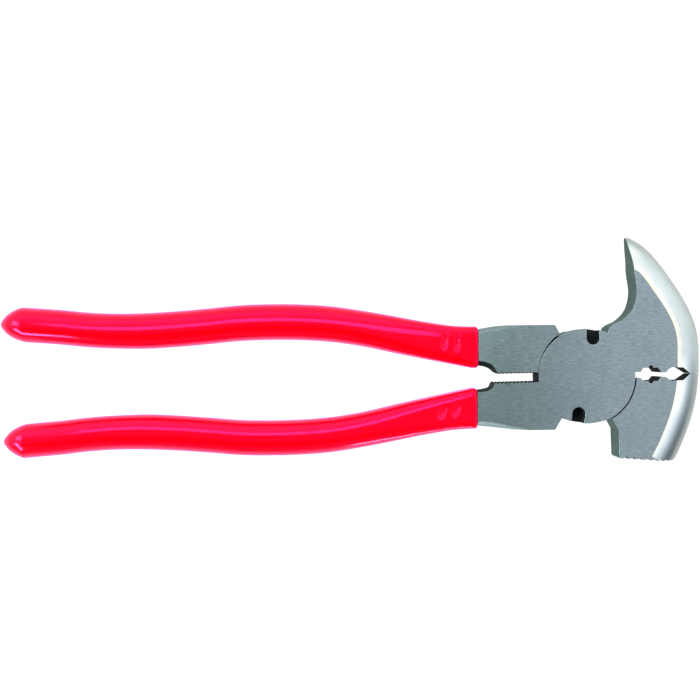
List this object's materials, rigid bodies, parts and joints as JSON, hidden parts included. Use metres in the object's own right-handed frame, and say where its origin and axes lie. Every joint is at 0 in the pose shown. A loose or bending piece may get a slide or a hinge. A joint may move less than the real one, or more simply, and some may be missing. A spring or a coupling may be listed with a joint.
{
  "type": "fencing pliers",
  "caption": "Fencing pliers with a staple pick, a hammer face, a riveted lap joint with wire cutter notches and red dipped grips.",
  "frame": {"origin": "centre of the closed tool's footprint, on the surface it lies on", "axes": "+X along the tool from the grips to the head, +Y towards the staple pick, +Z along the rivet, up from the surface the tool lies on"},
  "size_m": [0.2674, 0.0856, 0.014],
  "materials": {
    "steel": "satin brushed faces, polished rim",
    "grip": "glossy dipped vinyl"
  },
  "bodies": {
    "pick_side": {"pick_half": "steel", "pivot_rivet": "steel", "lower_grip": "grip"},
    "hammer_side": {"hammer_half": "steel", "upper_grip": "grip"}
  },
  "joints": [
    {"name": "pivot_hinge", "type": "hinge", "parent": "pick_side", "child": "hammer_side", "pos_m": [0.0894, -0.00984, 0.007], "axis": [0, 0, -1], "range_deg": [0, 45]}
  ]
}
